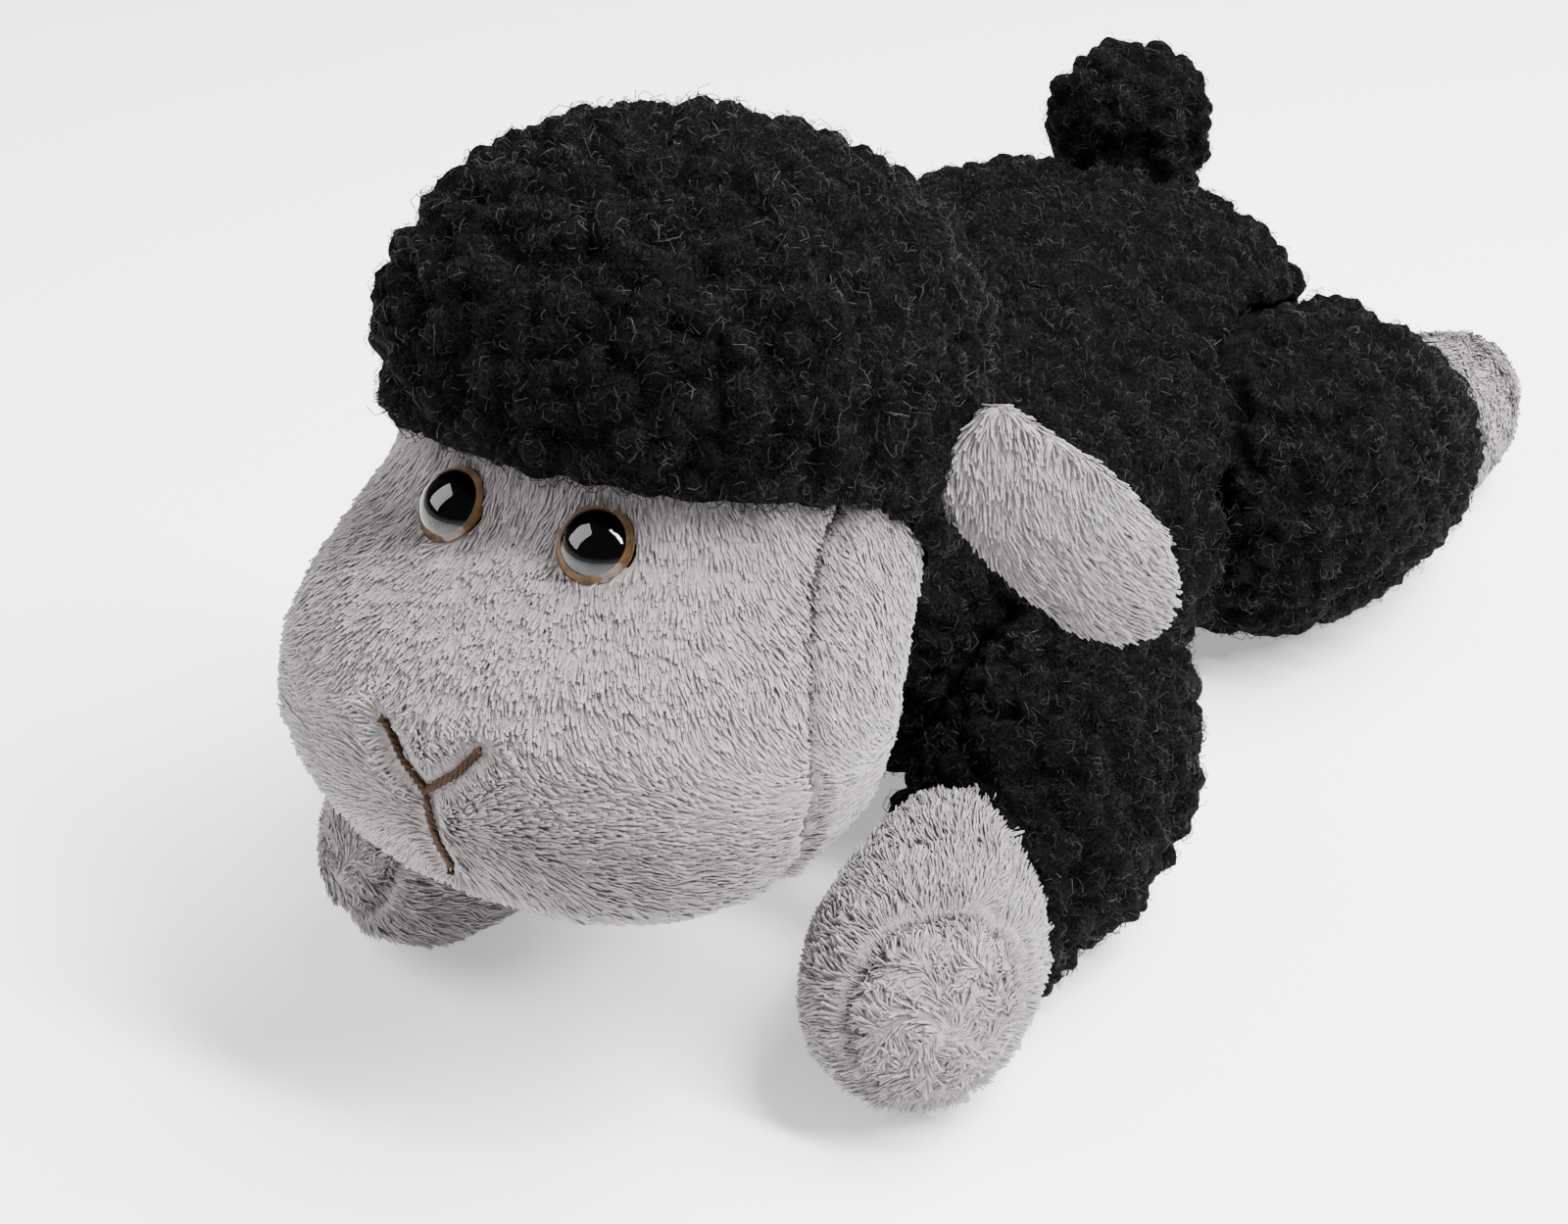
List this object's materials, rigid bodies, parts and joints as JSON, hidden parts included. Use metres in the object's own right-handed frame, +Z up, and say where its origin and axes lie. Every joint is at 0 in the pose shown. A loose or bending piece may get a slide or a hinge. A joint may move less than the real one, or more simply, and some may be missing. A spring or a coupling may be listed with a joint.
{
  "type": "plush sheep",
  "caption": "Stuffed plush sheep lying on its belly, with dark curly pile, soft grey face, ears and paws, plastic eyes and a stitched nose; head, ears, legs and tail bend at their seams.",
  "frame": {"origin": "middle of the bounding box, on the ground that the sheep lies on", "axes": "+Z up, -Y the way the body faces, +X the sheep's left side"},
  "size_m": [0.162, 0.2942, 0.1383],
  "materials": {
    "wool": "curly pile",
    "plush": "short soft pile",
    "stuffing": "loose fibre",
    "clear": "polished clear",
    "amber": "painted",
    "black": "moulded gloss",
    "washer": "moulded matt",
    "thread": "twisted thread"
  },
  "bodies": {
    "torso": {"back_cover": "wool", "belly_panel": "wool", "body_stuffing": "stuffing"},
    "neck": {"neck_stuffing": "stuffing"},
    "head": {"eye_left_dome": "clear", "eye_left_iris": "amber", "eye_left_back": "black", "eye_left_washer": "washer", "eye_right_dome": "clear", "eye_right_iris": "amber", "eye_right_back": "black", "eye_right_washer": "washer", "nose_stitch": "thread", "face_front_panel": "plush", "cheek_left_panel": "plush", "cheek_right_panel": "plush", "head_wool_cap": "wool", "head_stuffing": "stuffing"},
    "ear_left": {"ear_left_inner_panel": "plush", "ear_left_outer_panel": "plush"},
    "ear_right": {"ear_right_inner_panel": "plush", "ear_right_outer_panel": "plush"},
    "front_leg_left": {"front_leg_left_sleeve": "wool", "front_paw_left_cover": "plush", "front_paw_left_sole": "plush", "front_leg_left_stuffing": "stuffing"},
    "front_leg_right": {"front_leg_right_sleeve": "wool", "front_paw_right_cover": "plush", "front_paw_right_sole": "plush", "front_leg_right_stuffing": "stuffing"},
    "hind_leg_left": {"hind_leg_left_sleeve": "wool", "hind_foot_left_cover": "plush", "hind_foot_left_sole": "plush", "hind_leg_left_stuffing": "stuffing"},
    "hind_leg_right": {"hind_leg_right_sleeve": "wool", "hind_foot_right_cover": "plush", "hind_foot_right_sole": "plush", "hind_leg_right_stuffing": "stuffing"},
    "tail": {"tail_cover": "wool", "tail_stuffing": "stuffing"}
  },
  "joints": [
    {"name": "neck_turn", "type": "hinge", "parent": "torso", "child": "neck", "pos_m": [0, -0.04291, 0.044], "axis": [0, 0, 1], "range_deg": [0, 12], "stiffness_Nm_per_rad": 0.4},
    {"name": "neck_nod", "type": "hinge", "parent": "neck", "child": "head", "pos_m": [0, -0.04291, 0.044], "axis": [0.9888, -0.1495, 0], "range_deg": [-12, 0], "stiffness_Nm_per_rad": 0.4},
    {"name": "ear_left_flap", "type": "hinge", "parent": "head", "child": "ear_left", "pos_m": [0.04083, -0.07739, 0.09472], "axis": [0.521, 0.3276, 0.7882], "range_deg": [-10, 8], "stiffness_Nm_per_rad": 0.02},
    {"name": "ear_right_flap", "type": "hinge", "parent": "head", "child": "ear_right", "pos_m": [-0.04772, -0.06462, 0.08929], "axis": [0.4983, -0.4745, -0.7256], "range_deg": [-10, 8], "stiffness_Nm_per_rad": 0.02},
    {"name": "shoulder_left_swing", "type": "hinge", "parent": "torso", "child": "front_leg_left", "pos_m": [0.042, -0.03091, 0.026], "axis": [0, 0, 1], "range_deg": [0, 24], "stiffness_Nm_per_rad": 0.25},
    {"name": "shoulder_right_swing", "type": "hinge", "parent": "torso", "child": "front_leg_right", "pos_m": [-0.042, -0.03091, 0.026], "axis": [0, 0, -1], "range_deg": [0, 24], "stiffness_Nm_per_rad": 0.25},
    {"name": "hip_left_swing", "type": "hinge", "parent": "torso", "child": "hind_leg_left", "pos_m": [0.046, 0.05209, 0.032], "axis": [0, 0, -1], "range_deg": [0, 16], "stiffness_Nm_per_rad": 0.25},
    {"name": "hip_right_swing", "type": "hinge", "parent": "torso", "child": "hind_leg_right", "pos_m": [-0.046, 0.05209, 0.032], "axis": [0, 0, 1], "range_deg": [0, 16], "stiffness_Nm_per_rad": 0.25},
    {"name": "tail_wag", "type": "hinge", "parent": "torso", "child": "tail", "pos_m": [0, 0.09909, 0.069], "axis": [0, 1, 0], "range_deg": [-10, 10], "stiffness_Nm_per_rad": 0.05}
  ]
}
